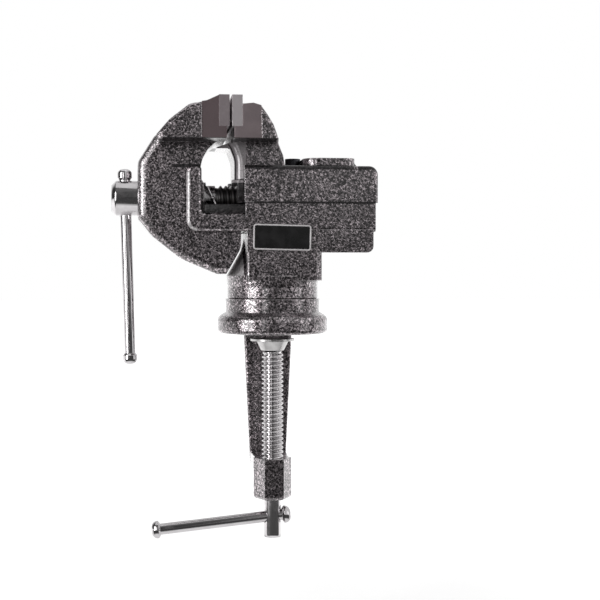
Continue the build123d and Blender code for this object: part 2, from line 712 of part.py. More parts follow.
def bolt_washer(top_z, thickness, outer_radius):
    """Washer round the swivel bolt, under the base's web."""
    ring = Circle(outer_radius) - Circle(bolt_radius + shaft_fit)
    return extrude(Plane.XY.offset(top_z - thickness) * ring, amount=thickness)


def swivel_spring_washer():
    """Spring washer with its slit, between the bolt's head and the flat washer."""
    top_z = washer_seat_z - flat_washer_thickness
    ring = bolt_washer(top_z, spring_washer_thickness, spring_washer_radius)
    slit = Pos(spring_washer_radius, 0, top_z) * Rot(30, 0, 0) * Box(
        2 * (spring_washer_radius - bolt_radius) + overrun, spring_washer_thickness / 3,
        2 * spring_washer_thickness + 2 * overrun)
    return ring - slit


def clamp_pad():
    """Pad with a flat disc on a cone, bored from below for the clamp screw's spigot and ring."""
    cone_top_z = pad_top_z - pad_disc_thickness
    pad = turned([
        (0, pad_top_z), (pad_radius, pad_top_z), (pad_radius, cone_top_z), (pad_cone_top_radius, cone_top_z),
        (pad_cone_foot_radius, pad_foot_z), (0, pad_foot_z)])
    bore = rod((0, 0, pad_foot_z - overrun), (0, 0, cone_top_z), pad_spigot_radius + shaft_fit)
    ring_z = pad_foot_z + pad_ring_rise
    groove = rod((0, 0, ring_z - shaft_fit), (0, 0, ring_z + pad_ring_thickness + shaft_fit),
                 pad_ring_radius + shaft_fit)
    return pad - bore - groove


def clamp_screw():
    """Core of the clamp screw: spigot with its groove, thread and drilled shank."""
    spigot_top_z = pad_top_z - pad_disc_thickness - shaft_fit
    ring_z = pad_foot_z + pad_ring_rise
    groove_radius = pad_spigot_radius - pad_ring_grip
    shoulder_z = pad_foot_z - swivel_gap
    screw = turned([
        (0, spigot_top_z), (pad_spigot_radius, spigot_top_z),
        (pad_spigot_radius, ring_z + pad_ring_thickness), (groove_radius, ring_z + pad_ring_thickness),
        (groove_radius, ring_z), (pad_spigot_radius, ring_z), (pad_spigot_radius, shoulder_z),
        (clamp_screw_radius, shoulder_z), (clamp_screw_radius, shank_top_z),
        (clamp_shank_radius, shank_top_z), (clamp_shank_radius, shank_bottom_z), (0, shank_bottom_z)])
    reach = clamp_shank_radius + overrun
    hole = rod(clamp_handle_point(-reach), clamp_handle_point(reach), clamp_handle_radius + handle_fit)
    return screw - hole


def pad_retaining_ring():
    """Split ring in the spigot's groove that keeps the pad on the screw."""
    ring = Circle(pad_ring_radius) - Circle(pad_spigot_radius - pad_ring_grip)
    solid = extrude(Plane.XY.offset(pad_foot_z + pad_ring_rise) * ring, amount=pad_ring_thickness)
    gap = Pos(pad_ring_radius, 0, pad_foot_z + pad_ring_rise) * Box(
        2 * pad_ring_radius, pad_ring_thickness, 2 * pad_ring_thickness + overrun)
    return solid - gap


spindle_handle_bar, spindle_handle_top_cap, spindle_handle_bottom_cap = spindle_handle()
clamp_handle_bar, clamp_handle_right_cap, clamp_handle_left_cap = clamp_handle()

nodes = {
    "clamp_frame": clamp_frame(),
    "fixed_body": fixed_body(),
    "rear_jaw_plate": jaw_plate(rear_grip_x, 1),
    "rear_jaw_screws": plate_screws(rear_grip_x, 1),
    "spindle_nut": spindle_nut(),
    "nut_lock_screw": nut_lock_screw(),
    "swivel_pivot_bolt": swivel_pivot_bolt(),
    "swivel_spring_washer": swivel_spring_washer(),
    "swivel_washer": bolt_washer(washer_seat_z, flat_washer_thickness, flat_washer_radius),
    "movable_jaw": movable_jaw(),
    "front_jaw_plate": jaw_plate(front_grip_x, -1),
    "front_jaw_screws": plate_screws(front_grip_x, -1),
    "main_spindle": main_spindle(),
    "spindle_thrust_washer": washer(
        spindle_shoulder_x, thrust_washer_thickness, thrust_washer_radius, spindle_radius + shaft_fit),
    "spindle_retaining_washer": washer(
        retaining_washer_x, retaining_washer_thickness, retaining_washer_radius, spindle_radius + shaft_fit),
    "spindle_split_pin": split_pin(),
    "spindle_handle_bar": spindle_handle_bar,
    "spindle_handle_top_cap": spindle_handle_top_cap,
    "spindle_handle_bottom_cap": spindle_handle_bottom_cap,
    "clamp_pad": clamp_pad(),
    "clamp_screw": clamp_screw(),
    "pad_retaining_ring": pad_retaining_ring(),
    "clamp_handle_bar": clamp_handle_bar,
    "clamp_handle_left_cap": clamp_handle_left_cap,
    "clamp_handle_right_cap": clamp_handle_right_cap,
}

os.makedirs("parts", exist_ok=True)
for name, shape in nodes.items():
    export_step(shape, f"parts/{name}.step")

print("spindle axis z", round(spindle_z, 3), "shoulder x", round(spindle_shoulder_x, 3))
print("spindle handle travel", round(spindle_handle_below - spindle_head_radius - spindle_cap_gap, 3))
print("clamp handle travel", round(clamp_handle_reach - clamp_shank_radius - clamp_cap_gap, 3))
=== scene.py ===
# %% [markdown]
# A bench vise is mostly rough cast iron with a few bright turned parts. The solids already hold
# every piece at its real size, so this lesson dresses them: paint, bare steel, threads and the
# name plate. First the imported model is loaded, and its box is kept for placing the floor.

# %% Load the vise
import math

import bmesh
import bpy
from mathutils import Matrix, Vector


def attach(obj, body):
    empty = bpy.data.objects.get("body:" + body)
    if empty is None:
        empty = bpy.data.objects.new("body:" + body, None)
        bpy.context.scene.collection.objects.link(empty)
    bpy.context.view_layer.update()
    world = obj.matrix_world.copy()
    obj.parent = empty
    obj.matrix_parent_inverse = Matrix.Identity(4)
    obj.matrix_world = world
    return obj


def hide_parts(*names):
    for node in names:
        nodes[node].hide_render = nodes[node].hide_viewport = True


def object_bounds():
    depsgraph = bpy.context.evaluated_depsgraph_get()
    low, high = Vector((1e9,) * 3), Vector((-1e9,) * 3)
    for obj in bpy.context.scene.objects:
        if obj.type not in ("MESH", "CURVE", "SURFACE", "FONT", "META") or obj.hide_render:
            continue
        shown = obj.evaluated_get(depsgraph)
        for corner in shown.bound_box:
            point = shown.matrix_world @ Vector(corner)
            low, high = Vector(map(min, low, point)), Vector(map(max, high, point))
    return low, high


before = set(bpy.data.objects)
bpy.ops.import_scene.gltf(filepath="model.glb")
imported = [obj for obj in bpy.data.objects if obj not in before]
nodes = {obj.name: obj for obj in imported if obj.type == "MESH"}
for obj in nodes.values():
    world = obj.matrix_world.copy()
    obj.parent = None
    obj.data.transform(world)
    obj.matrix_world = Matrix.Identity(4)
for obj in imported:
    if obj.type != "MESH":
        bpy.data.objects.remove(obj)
cad_low, cad_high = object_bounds()
mm = 0.001
print("solids loaded:", len(nodes), "nodes, box", [round(v, 4) for v in (*cad_low, *cad_high)])

# %% [markdown]
# The photograph was taken almost square on, from six degrees towards the spindle's side and from
# about the height of the swivel, with a lens long enough to keep the sides almost parallel. A
# level camera with a small shift frames it the same way, because a shifted lens keeps uprights
# upright, as the photograph does.

# %% Camera
view_distance = 0.550
view_turn = math.radians(6)
view_height = 0.0285
focal_pixels = 1210.0
picture_pixels = 600.0
axis_pixel = 272.5
horizon_pixel = 270.0
sensor_width = 36.0
closest_seen = 10 * mm

camera_data = bpy.data.cameras.new("camera")
camera_data.sensor_width = sensor_width
camera_data.lens = sensor_width * focal_pixels / picture_pixels
camera_data.shift_x = 0.5 - axis_pixel / picture_pixels
camera_data.shift_y = horizon_pixel / picture_pixels - 0.5
camera_data.clip_start = closest_seen
camera = bpy.data.objects.new("camera", camera_data)
aside = view_distance * math.sin(view_turn)
back = view_distance * math.cos(view_turn)
camera.location = (-aside, -back, view_height)
camera.rotation_euler = (math.radians(90), 0, -view_turn)
scene = bpy.context.scene
scene.collection.objects.link(camera)
scene.camera = camera
print("camera: lens", round(camera_data.lens, 1), "mm")

# %% [markdown]
# Every material, shader group and Geometry Nodes tree here is built with a few small helpers: one
# adds a node and fills its sockets, the others wrap the nodes that come up again and again. A
# helper keeps the later cells short, so that they show the idea of a finish instead of its wiring.

# %% Node helpers
def empty_tree(owner):
    """Clear the node tree of a material or world and return it."""
    owner.use_nodes = True
    owner.node_tree.nodes.clear()
    return owner.node_tree


def add(tree, kind, settings=None, inputs=None):
    """Add a node, set its properties, then fill or link its sockets by name or number."""
    node = tree.nodes.new(kind)
    for name, value in (settings or {}).items():
        setattr(node, name, value)
    for name, value in (inputs or {}).items():
        if isinstance(value, bpy.types.NodeSocket):
            tree.links.new(value, node.inputs[name])
        else:
            node.inputs[name].default_value = value
    return node


def calc(tree, operation, first, second=0.0, clamp=False):
    """Math node between two numbers or sockets; returns its output."""
    settings = {"operation": operation, "use_clamp": clamp}
    return add(tree, "ShaderNodeMath", settings, {0: first, 1: second}).outputs[0]


def scaled(tree, value, factor, offset=0.0):
    """Value times a factor plus an offset; returns its output."""
    inputs = {0: value, 1: factor, 2: offset}
    return add(tree, "ShaderNodeMath", {"operation": "MULTIPLY_ADD"}, inputs).outputs[0]


def ramp(tree, value, low, high, smooth=True):
    """0 below low, 1 above high, and an even or smooth rise between them."""
    settings = {"interpolation_type": "SMOOTHSTEP" if smooth else "LINEAR"}
    inputs = {"Value": value, "From Min": low, "From Max": high}
    return add(tree, "ShaderNodeMapRange", settings, inputs).outputs["Result"]


def blend(tree, factor, first, second):
    """Colour that goes from the first to the second as the factor rises."""
    inputs = {0: factor, 6: first, 7: second}  # sockets 6 and 7 are the Mix node's colours
    return add(tree, "ShaderNodeMix", {"data_type": "RGBA"}, inputs).outputs[2]


def mixed(tree, factor, first, second):
    """Number that goes from the first to the second as the factor rises."""
    inputs = {0: factor, 2: first, 3: second}  # sockets 2 and 3 are the Mix node's numbers
    return add(tree, "ShaderNodeMix", inputs=inputs).outputs[0]


def highest(tree, first, *others):
    """Highest of several masks."""
    for other in others:
        first = calc(tree, "MAXIMUM", first, other)
    return first


def product(tree, first, *others):
    """Product of several masks."""
    for other in others:
        first = calc(tree, "MULTIPLY", first, other)
    return first


def noise(tree, place, scale, detail=2.0, roughness=0.55, distortion=0.0):
    """Noise between 0 and 1 at a place; returns its value output."""
    inputs = {"Vector": place, "Scale": scale, "Detail": detail, "Roughness": roughness,
              "Distortion": distortion}
    return add(tree, "ShaderNodeTexNoise", inputs=inputs).outputs[0]


def new_group(name, kind, inputs, outputs):
    """Group with named sockets; returns its tree, its input node and its output node."""
    tree = bpy.data.node_groups.new(name, kind)
    new_socket = tree.interface.new_socket
    for label, socket_type, value in inputs:
        socket = new_socket(label, in_out="INPUT", socket_type="NodeSocket" + socket_type)
        if value is not None:
            socket.default_value = value
    for label, socket_type in outputs:
        new_socket(label, in_out="OUTPUT", socket_type="NodeSocket" + socket_type)
    return tree, tree.nodes.new("NodeGroupInput"), tree.nodes.new("NodeGroupOutput")


def use_group(tree, group, inputs=None):
    """Place a shader group in a material with its own values; returns the node's outputs."""
    return add(tree, "ShaderNodeGroup", {"node_tree": group}, inputs).outputs


print("node helpers: add, calc, scaled, ramp, blend, mixed, highest, product, noise and groups")

# %% [markdown]
# The vise is shown by itself above a pale ground. The floor is one large sheet, low enough for the
# clamp's handle at the end of its travel. Camera rays see the floor and the backdrop as white,
# while their share of the light stays plain. Mirror rays see the backdrop white too, but on the
# side where the photographer stands they find a dark room and dark ground, with a dim wall to the
# right. That is what draws the dark stripe along polished bars, which would otherwise look like
# plain white sticks, and what makes the castings' flat sides lighter towards the anvil, as in the
# photograph.

# %% Floor, room and lamps
scene.view_settings.view_transform = "Standard"
floor_drop = 47.0 * mm  # the clamp's handle comes down by 46 mm
floor_reach = 6.0
vise_middle = (0, 0, 0.04)
white = (1, 1, 1, 1)
paper_white = (0.9, 0.9, 0.9, 1)
paper_dim = (0.30, 0.30, 0.30, 1)
glow_near, glow_far = 0.55, 1.07  # the floor's own light close to the vise and further off
dark_ground = 0.07
dark_room = 0.04
right_wall = 0.80
ceiling_level = 0.16
room_light = 0.24


def make_floor():
    """Pale floor sheet below the lowest place that the clamp's handle reaches."""
    mesh = bpy.data.meshes.new("floor")
    shape = bmesh.new()
    bmesh.ops.create_grid(shape, x_segments=1, y_segments=1, size=floor_reach)
    shape.to_mesh(mesh)
    shape.free()
    floor = bpy.data.objects.new("floor", mesh)
    floor.location.z = cad_low[2] - floor_drop
    scene.collection.objects.link(floor)
    material = bpy.data.materials.new("floor")
    material.cycles.emission_sampling = "NONE"
    tree = empty_tree(material)
    path = add(tree, "ShaderNodeLightPath")
    place = add(tree, "ShaderNodeTexCoord").outputs["Object"]
    away = add(tree, "ShaderNodeVectorMath", {"operation": "LENGTH"}, {0: place}).outputs["Value"]
    level = scaled(tree, ramp(tree, away, 0.08, 0.50), glow_far - glow_near, glow_near)
    paper = add(tree, "ShaderNodeBsdfDiffuse", inputs={"Color": paper_white})
    glow = add(tree, "ShaderNodeEmission", inputs={"Color": white, "Strength": level})
    lit = add(tree, "ShaderNodeAddShader", inputs={0: paper.outputs[0], 1: glow.outputs[0]})
    dim_paper = add(tree, "ShaderNodeBsdfDiffuse", inputs={"Color": paper_dim})
    seen = highest(tree, path.outputs["Is Camera Ray"], path.outputs["Is Glossy Ray"])
    plain = add(tree, "ShaderNodeMixShader",
                inputs={0: seen, 1: dim_paper.outputs[0], 2: lit.outputs[0]})
    part = add(tree, "ShaderNodeSeparateXYZ", inputs={0: place})
    in_front = ramp(tree, part.outputs["Y"], 12 * mm, -4 * mm)  # falls from front to back
    slant = ramp(tree, add(tree, "ShaderNodeLayerWeight").outputs["Facing"], 0.15, 0.45)
    unlit = product(tree, in_front, slant, path.outputs["Is Glossy Ray"])
    dark = add(tree, "ShaderNodeEmission", inputs={"Color": white, "Strength": dark_ground})
    ground = add(tree, "ShaderNodeMixShader",
                 inputs={0: unlit, 1: plain.outputs[0], 2: dark.outputs[0]})
    add(tree, "ShaderNodeOutputMaterial", inputs={"Surface": ground.outputs[0]})
    mesh.materials.append(material)


def make_room():
    """World: white behind the vise, plain soft light, darker on the photographer's side."""
    world = bpy.data.worlds.new("room")
    scene.world = world
    world.cycles.sampling_method = "NONE"
    tree = empty_tree(world)
    path = add(tree, "ShaderNodeLightPath")
    place = add(tree, "ShaderNodeTexCoord")
    part = add(tree, "ShaderNodeSeparateXYZ", inputs={0: place.outputs["Generated"]})
    backdrop = ramp(tree, part.outputs["Y"], 0.30, 0.85)
    ceiling = scaled(tree, ramp(tree, part.outputs["Z"], 0.50, 0.80), ceiling_level)
    rightward = ramp(tree, part.outputs["X"], -0.04, 0.22)
    above = ramp(tree, part.outputs["Z"], -0.01, 0.08)
    wall = scaled(tree, product(tree, rightward, above), right_wall - dark_room, dark_room)
    mirrored = highest(tree, backdrop, ceiling, wall)
    lit = mixed(tree, path.outputs["Is Glossy Ray"], room_light, mirrored)
    level = highest(tree, path.outputs["Is Camera Ray"], lit)
    air = add(tree, "ShaderNodeBackground", inputs={"Color": white, "Strength": level})
    add(tree, "ShaderNodeOutputWorld", inputs={"Surface": air.outputs[0]})


def make_lamp(name, place, width, height, power):
    """Soft box that points at the middle of the vise."""
    data = bpy.data.lights.new(name, "AREA")
    data.shape = "RECTANGLE"
    data.size = width
    data.size_y = height
    data.energy = power
    lamp = bpy.data.objects.new(name, data)
    lamp.location = place
    towards = Vector(vise_middle) - Vector(place)
    lamp.rotation_euler = towards.to_track_quat("-Z", "Y").to_euler()
    scene.collection.objects.link(lamp)


make_floor()
make_room()
soft_boxes = [  # name, place, width, height, power
    ("key_left", (-0.86, -0.52, 0.16), 0.45, 0.9, 7.0),
    ("front_left", (-0.42, -0.94, 0.30), 0.25, 0.7, 1.3),
    ("fill_right", (0.86, -0.40, 0.12), 0.35, 0.8, 0.9),
    ("top_soft", (-0.20, 0.10, 0.95), 0.8, 0.8, 1.5),
]
for soft_box in soft_boxes:
    make_lamp(*soft_box)
print("stage: pale floor, white backdrop and", len(soft_boxes), "soft boxes")

# %% [markdown]
# The castings carry a hammered finish: a dark enamel with bright metal flake that draws together
# into worm-like silver grains about a millimetre long. A photograph of such a surface could be
# wrapped on, but it would tear at every corner. Solid noise on the object's own coordinates has no
# seams, so one group makes the grain's colour and relief for all castings. Its grain size and its
# two colours are named inputs, so that another casting can be finer or darker.

# %% Shader group: hammered finish
def make_hammered():
    """Silver grains in dark enamel: colour, grain mask and relief height."""
    tree, given, result = new_group(
        "hammered_finish", "ShaderNodeTree",
        [("Grain Size", "Float", 0.82 * mm), ("Dark", "Color", (0.020, 0.017, 0.018, 1)),
         ("Light", "Color", (0.88, 0.78, 0.82, 1))],
        [("Color", "Color"), ("Grain", "Float"), ("Height", "Float")])
    place = add(tree, "ShaderNodeTexCoord").outputs["Object"]
    scale = calc(tree, "DIVIDE", 1.0, given.outputs["Grain Size"])
    worms = noise(tree, place, scale, detail=1.0, roughness=0.5, distortion=0.9)
    cell_scale = scaled(tree, scale, 0.55)
    cells = add(tree, "ShaderNodeTexVoronoi", inputs={"Vector": place, "Scale": cell_scale})
    pits = ramp(tree, cells.outputs["Distance"], 0.10, 0.50)
    cloud = noise(tree, place, scaled(tree, scale, 0.10))
    drift = calc(tree, "ADD", worms, scaled(tree, cloud, 0.10, -0.05))
    crests = ramp(tree, drift, 0.36, 0.70, smooth=False)
    pitted = product(tree, crests, scaled(tree, pits, 0.35, 0.65))
    grain = calc(tree, "POWER", pitted, 2.0)
    colour = blend(tree, grain, given.outputs["Dark"], given.outputs["Light"])
    height = scaled(tree, calc(tree, "ADD", crests, pits), 0.5)
    tree.links.new(colour, result.inputs["Color"])
    tree.links.new(grain, result.inputs["Grain"])
    tree.links.new(height, result.inputs["Height"])
    return tree


hammered_finish = make_hammered()
print("group:", hammered_finish.name)

# %% [markdown]
# Cast and machined edges are never knife sharp, and paint is thin on them, so an edge is made
# lighter: partly bare metal where the paint wore thin, partly a painted highlight where light
# would catch it. The inner corners are made dark: partly paint and dirt that gather there, partly
# painted shade where little light comes in. The Bevel node measures how near a point is to an edge
# and also rounds its shading; Ambient Occlusion tells the inner corners from the outer ones. Both
# depend on the shape alone, not on where the camera stands.

# %% Shader group: edges and corners
def make_edges():
    """Masks for outer edges and inner corners, and a normal that rounds the edges."""
    rays = 4
    tree, given, result = new_group(
        "edges_and_corners", "ShaderNodeTree",
        [("Width", "Float", 0.5 * mm), ("Reach", "Float", 3.0 * mm)],
        [("Edge", "Float"), ("Corner", "Float"), ("Normal", "Vector")])
    rounded = add(tree, "ShaderNodeBevel", {"samples": rays},
                  {"Radius": given.outputs["Width"]})
    surface = add(tree, "ShaderNodeNewGeometry")
    straight = add(tree, "ShaderNodeVectorMath", {"operation": "DOT_PRODUCT"},
                   {0: rounded.outputs[0], 1: surface.outputs["Normal"]})
    bend = ramp(tree, scaled(tree, straight.outputs["Value"], -1.0, 1.0), 0.01, 0.14)
    shade = add(tree, "ShaderNodeAmbientOcclusion", {"samples": rays, "only_local": True},
                {"Distance": given.outputs["Reach"]})
    open_side = ramp(tree, shade.outputs["AO"], 0.62, 0.95)
    closed = scaled(tree, ramp(tree, shade.outputs["AO"], 0.30, 0.85), -1.0, 1.0)
    tree.links.new(product(tree, bend, open_side), result.inputs["Edge"])
    tree.links.new(closed, result.inputs["Corner"])
    tree.links.new(rounded.outputs[0], result.inputs["Normal"])
    return tree


edges_and_corners = make_edges()
print("group:", edges_and_corners.name)

# %% [markdown]
# Bare metal is told by two things: the fine lines that its last tool left, and the cloudy film of
# oil and handling on top. One group gives both as masks. The lines come from noise that is
# stretched along the tool's path, so a turned bar gets rings and a ground plate gets straight
# strokes.

# %% Shader group: tool marks
def make_tool_marks():
    """Fine stretched lines and a soft film, both between 0 and 1."""
    tree, given, result = new_group(
        "tool_marks", "ShaderNodeTree",
        [("Line Spacing", "Float", 0.25 * mm), ("Stretch", "Vector", (1, 1, 1)),
         ("Film Size", "Float", 9.0 * mm)],
        [("Lines", "Float"), ("Film", "Float")])
    place = add(tree, "ShaderNodeTexCoord").outputs["Object"]
    pulled = add(tree, "ShaderNodeVectorMath", {"operation": "MULTIPLY"},
                 {0: place, 1: given.outputs["Stretch"]}).outputs[0]
    line_scale = calc(tree, "DIVIDE", 1.0, given.outputs["Line Spacing"])
    film_scale = calc(tree, "DIVIDE", 1.0, given.outputs["Film Size"])
    tree.links.new(noise(tree, pulled, line_scale, detail=2.0), result.inputs["Lines"])
    film = noise(tree, place, film_scale, detail=3.0, roughness=0.6, distortion=0.4)
    tree.links.new(ramp(tree, film, 0.35, 0.68), result.inputs["Film"])
    return tree


tool_marks = make_tool_marks()
print("group:", tool_marks.name)

# %% [markdown]
# Some places on the castings are machined after painting: the side faces of the jaws next to the
# plates, and the top of the anvil. Others get a painted highlight, or a line of painted shade. A
# box in the object's own coordinates marks such a place. The box is taken on both sides at once,
# because the vise is made the same way left and right.

# %% Shader group: patch
def make_patch():
    """1 inside a box, mirrored in Y, and 0 outside it."""
    tree, given, result = new_group(
        "patch", "ShaderNodeTree",
        [("Low", "Vector", (0, 0, 0)), ("High", "Vector", (0, 0, 0)),
         ("Softness", "Float", 0.15 * mm)],
        [("Mask", "Float")])
    place = add(tree, "ShaderNodeTexCoord").outputs["Object"]
    part = add(tree, "ShaderNodeSeparateXYZ", inputs={0: place})
    side = calc(tree, "ABSOLUTE", part.outputs["Y"])
    here = add(tree, "ShaderNodeCombineXYZ",
               inputs={0: part.outputs["X"], 1: side, 2: part.outputs["Z"]})
    below = add(tree, "ShaderNodeVectorMath", {"operation": "SUBTRACT"},
                {0: given.outputs["Low"], 1: here.outputs[0]})
    above = add(tree, "ShaderNodeVectorMath", {"operation": "SUBTRACT"},
                {0: here.outputs[0], 1: given.outputs["High"]})
    outside = add(tree, "ShaderNodeVectorMath", {"operation": "MAXIMUM"},
                  {0: below.outputs[0], 1: above.outputs[0]})
    out = add(tree, "ShaderNodeSeparateXYZ", inputs={0: outside.outputs[0]})
    furthest = highest(tree, *out.outputs)
    share = calc(tree, "DIVIDE", furthest, given.outputs["Softness"])
    tree.links.new(calc(tree, "SUBTRACT", 1.0, share, clamp=True), result.inputs["Mask"])
    return tree


patch = make_patch()
print("group:", patch.name)

# %% [markdown]
# A casting's material puts the groups together: hammered enamel over all, silver on the edges
# (partly worn paint, partly painted highlight), painted shade in the inner corners (with some dirt)
# and along lines where shade falls, painted highlights as bright speckle on faces and edges that
# catch the light, and bare machined metal wherever a patch says so. A thin clear coat lies over the
# paint and gives it its wet shine. The three castings differ only in their patches, so one function
# makes them all.

# %% Casting materials
# near black for the inner corners and the shade lines: painted shade, with some dirt in the corners
shade_and_grime_colour = (0.004, 0.0035, 0.004, 1)
# silver for edges, partly worn paint and partly painted highlight, and for the painted highlight
# patches
silver_wear_and_highlight = (0.80, 0.77, 0.78, 1)
smooth_grey = (0.30, 0.275, 0.285, 1)
milled_dull = 0.75  # how bright a milled face is between its tool's lines
coat_roughness, coat_ior = 0.16, 1.6
hammer_depth = 0.08 * mm


def patch_mask(tree, boxes, softness):
    """Highest mask of several boxes in millimetres."""
    mask = 0.0
    for low, high in boxes:
        corners = {"Low": [v * mm for v in low], "High": [v * mm for v in high]}
        inside = use_group(tree, patch, {**corners, "Softness": softness * mm})
        mask = highest(tree, mask, inside["Mask"])
    return mask


def casting_material(name, milled=(), milled_colour=smooth_grey, smooth=(), shade_lines=(), painted_highlights=()):
    """Hammered enamel with milled and smooth patches, painted highlights, lines of painted shade
    and bright edges.
    """
    material = bpy.data.materials.new(name)
    tree = empty_tree(material)
    coat = use_group(tree, hammered_finish)
    edge = use_group(tree, edges_and_corners)
    marks = use_group(tree, tool_marks, {"Stretch": (0.3, 1, 1)})
    bare = patch_mask(tree, milled, 0.15)
    plain = patch_mask(tree, smooth, 0.5)
    # painted shade along lines where shade falls, such as under the heads
    dark = patch_mask(tree, shade_lines, 0.3)
    painted_highlight = 0.0
    for low, high, strength in painted_highlights:
        spot = patch_mask(tree, [(low, high)], 0.05)
        painted_highlight = highest(tree, painted_highlight, scaled(tree, spot, strength))
    # Colour: paint, silver edges (worn paint and painted highlight), painted highlights, smooth and
    # milled faces, and painted shade with some dirt over all of them.
    speckle = scaled(tree, ramp(tree, coat["Grain"], 0.05, 0.45), 0.45, 0.55)
    # Edges: worn paint and painted highlight; patches: painted highlight only.
    wear_and_highlight = highest(tree, scaled(tree, edge["Edge"], 0.6), product(tree, painted_highlight, speckle))
    colour = blend(tree, plain, blend(tree, wear_and_highlight, coat["Color"], silver_wear_and_highlight), smooth_grey)
    dull_colour = (*(milled_dull * v for v in milled_colour[:3]), 1)
    colour = blend(tree, bare, colour, blend(tree, marks["Lines"], dull_colour, milled_colour))
    # Inner corners darkened: painted shade with some dirt; the shade lines are painted shade only.
    corner_grime_and_shade = product(tree, edge["Corner"], scaled(tree, plain, -0.75, 0.9))
    grime_and_shade = highest(tree, corner_grime_and_shade, scaled(tree, dark, 0.92))
    colour = blend(tree, grime_and_shade, colour, shade_and_grime_colour)
    # Roughness, metal and clear coat: painted shade and dirt are no metal and carry no coat, and
    # milled faces carry no coat.
    paint_roughness = scaled(tree, coat["Grain"], -0.04, 0.29)
    bare_roughness = scaled(tree, marks["Film"], 0.12, 0.40)
    roughness = mixed(tree, bare, paint_roughness, bare_roughness)
    flat = highest(tree, plain, ramp(tree, painted_highlight, 0.6, 0.8), grime_and_shade)
    metal = scaled(tree, flat, -0.7, 0.9)
    cover_coat = scaled(tree, highest(tree, bare, grime_and_shade), -1.0, 1.0)
    # Relief: hammered, but nearly even where the face is smooth or milled.
    even = highest(tree, bare, scaled(tree, plain, 0.8))
    relief = mixed(tree, even, coat["Height"], scaled(tree, marks["Lines"], 0.04))
    bump = add(tree, "ShaderNodeBump",
               inputs={"Strength": 1.0, "Distance": hammer_depth, "Height": relief,
                       "Normal": edge["Normal"]})
    shader = add(tree, "ShaderNodeBsdfPrincipled",
                 inputs={"Base Color": colour, "Roughness": roughness, "Metallic": metal,
                         "Coat Weight": cover_coat, "Coat Roughness": coat_roughness,
                         "Coat IOR": coat_ior, "Normal": bump.outputs[0]})
    add(tree, "ShaderNodeOutputMaterial", inputs={"Surface": shader.outputs[0]})
    return material


# Patches are boxes in millimetres: |Y| takes the place of Y, because left and right are alike.
front_milled = [((-33.5, 29.9, 85.2), (-20, 30.12, 110))]
# Lines of painted shade: under the head, above the cheek, in the gap between the jaws and along the
# slide bar's walls.
front_shade_lines = [((-46, 0, 73.6), (-30, 15.3, 75.0)), ((-23, 0, 84.6), (-22.5, 29.6, 91)),
                 ((-33, 10, 53.0), (39, 15.2, 58.5)), ((-60, 15.3, 84.6), (-20, 30.6, 85.1))]
# Painted highlight: the bevel along the movable jaw's front, as if lit from the left.
front_painted_highlights = [((-62, 11.6, 47), (-30, 14.9, 92), 0.30)]
rear_milled = [((-21, 29.9, 84), (-7.6, 30.12, 110)), ((12, 0, 77.95), (36, 18, 79))]
rear_smooth = [((-24, 10.6, 67), (-13.6, 14.93, 86.5)), ((-20, 14.9, 67), (-14.3, 15.1, 81))]
# Dark lines: painted shade along the step and the box's top edge, at the anvil's foot, in the jaw
# gap, in the box's mouth and under the head; and a thin dark line on the arch.
rear_shade_lines = [((-10, 14, 57.95), (47, 22, 58.5)), ((-14, 18.3, 72.9), (34, 22, 74.7)),
                ((36, 18.3, 72.9), (47, 22, 78)), ((-24, 12.3, 67), (-15, 13.0, 84)),
                ((-19.7, 0, 84.6), (-19.3, 29.6, 91)), ((-21, 10, 57), (-14.25, 15.2, 66.8)),
                ((-21, 15.3, 84.6), (2, 30.6, 85.1))]
# Painted highlights: the cheek's rounded front edge, the column's front edge, and the flare at the
# column's foot, lit though the skirt shades it.
rear_painted_highlights = [((-39.8, 17.4, 45.3), (-35, 18.94, 71.3), 0.85),
             ((-14.4, 17.8, 26), (-13.0, 18.96, 45.3), 0.8),
             ((-22, 0, 26), (-14.2, 15.1, 45), 1.0)]
cast_base = casting_material("cast_base")
# The front jaw's milled faces get a darker copy of the rear jaw's milled colour: painted shade.
cast_front = casting_material("cast_front", front_milled, (0.19, 0.148, 0.155, 1),
                              shade_lines=front_shade_lines, painted_highlights=front_painted_highlights)
cast_rear = casting_material("cast_rear", rear_milled, (0.30, 0.25, 0.26, 1), rear_smooth,
                             rear_shade_lines, rear_painted_highlights)
print("castings: clamp frame, movable jaw and fixed body")

# %% [markdown]
# The turned and ground pieces are bare or plated steel. They differ in colour, in how mirror-like
# they are and in the direction of their tool marks, so again one function makes them from a row of
# values. Film makes the gloss uneven, and the corners are darkened a little: some dirt, and
# painted shade.

# %% Metal materials
even_marks = (1, 1, 1)
strokes_along_y = (1, 0.1, 1)
turned_on_x = (1, 0.2, 0.2)
turned_on_z = (0.2, 0.2, 1)
softly_turned_on_z = (0.3, 0.3, 1)
film_strength = 0.8


